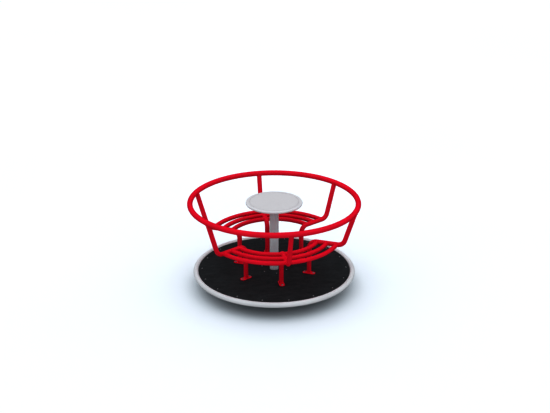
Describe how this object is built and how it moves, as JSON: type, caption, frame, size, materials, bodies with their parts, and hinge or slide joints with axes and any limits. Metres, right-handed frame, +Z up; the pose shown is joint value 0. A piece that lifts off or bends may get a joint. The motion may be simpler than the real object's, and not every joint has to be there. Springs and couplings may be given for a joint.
{
  "type": "playground roundabout",
  "caption": "Playground roundabout: a round deck that spins about a fixed post, with curved tube seats, a hand rail hoop all round and a still centre table to pull on.",
  "frame": {"origin": "centre of the ground plate's underside, on the floor and on the turning axis", "axes": "+Z up along the turning axis; -Y towards the middle frame of the front seat; +X towards one of the two entrances"},
  "size_m": [1.5764, 1.5764, 0.8461],
  "materials": {
    "red_paint": "semi-gloss red powder coat",
    "rim_paint": "satin light grey",
    "post_paint": "satin mid grey",
    "table_paint": "satin light grey",
    "deck_black": "black film-faced plywood with a fine anti-slip grain",
    "chassis_steel": "satin dark grey",
    "base_steel": "galvanised",
    "bearing_steel": "machined"
  },
  "bodies": {
    "base": {"ground_plate": "base_steel", "pedestal": "base_steel", "bearing_race": "bearing_steel", "centre_post": "post_paint", "table_flange": "post_paint", "table_top": "table_paint"},
    "carousel": {"hub_sleeve": "chassis_steel", "hub_top_flange": "chassis_steel", "hub_low_flange": "chassis_steel", "arm_front": "chassis_steel", "arm_front_right": "chassis_steel", "arm_back_right": "chassis_steel", "arm_back": "chassis_steel", "arm_back_left": "chassis_steel", "arm_front_left": "chassis_steel", "deck_ring": "chassis_steel", "deck_panel": "deck_black", "rim_tube": "rim_paint", "frame_front": "red_paint", "frame_front_right": "red_paint", "frame_back_right": "red_paint", "frame_back": "red_paint", "frame_back_left": "red_paint", "frame_front_left": "red_paint", "foot_front": "red_paint", "foot_front_right": "red_paint", "foot_back_right": "red_paint", "foot_back": "red_paint", "foot_back_left": "red_paint", "foot_front_left": "red_paint", "seat_front_right_inner": "red_paint", "seat_front_right_middle": "red_paint", "seat_front_right_outer": "red_paint", "seat_front_left_inner": "red_paint", "seat_front_left_middle": "red_paint", "seat_front_left_outer": "red_paint", "seat_back_right_inner": "red_paint", "seat_back_right_middle": "red_paint", "seat_back_right_outer": "red_paint", "seat_back_left_inner": "red_paint", "seat_back_left_middle": "red_paint", "seat_back_left_outer": "red_paint", "top_rail": "red_paint"}
  },
  "joints": [
    {"name": "spin", "type": "hinge", "parent": "base", "child": "carousel", "pos_m": [0, 0, 0.145], "axis": [0, 0, 1], "continuous": true}
  ]
}
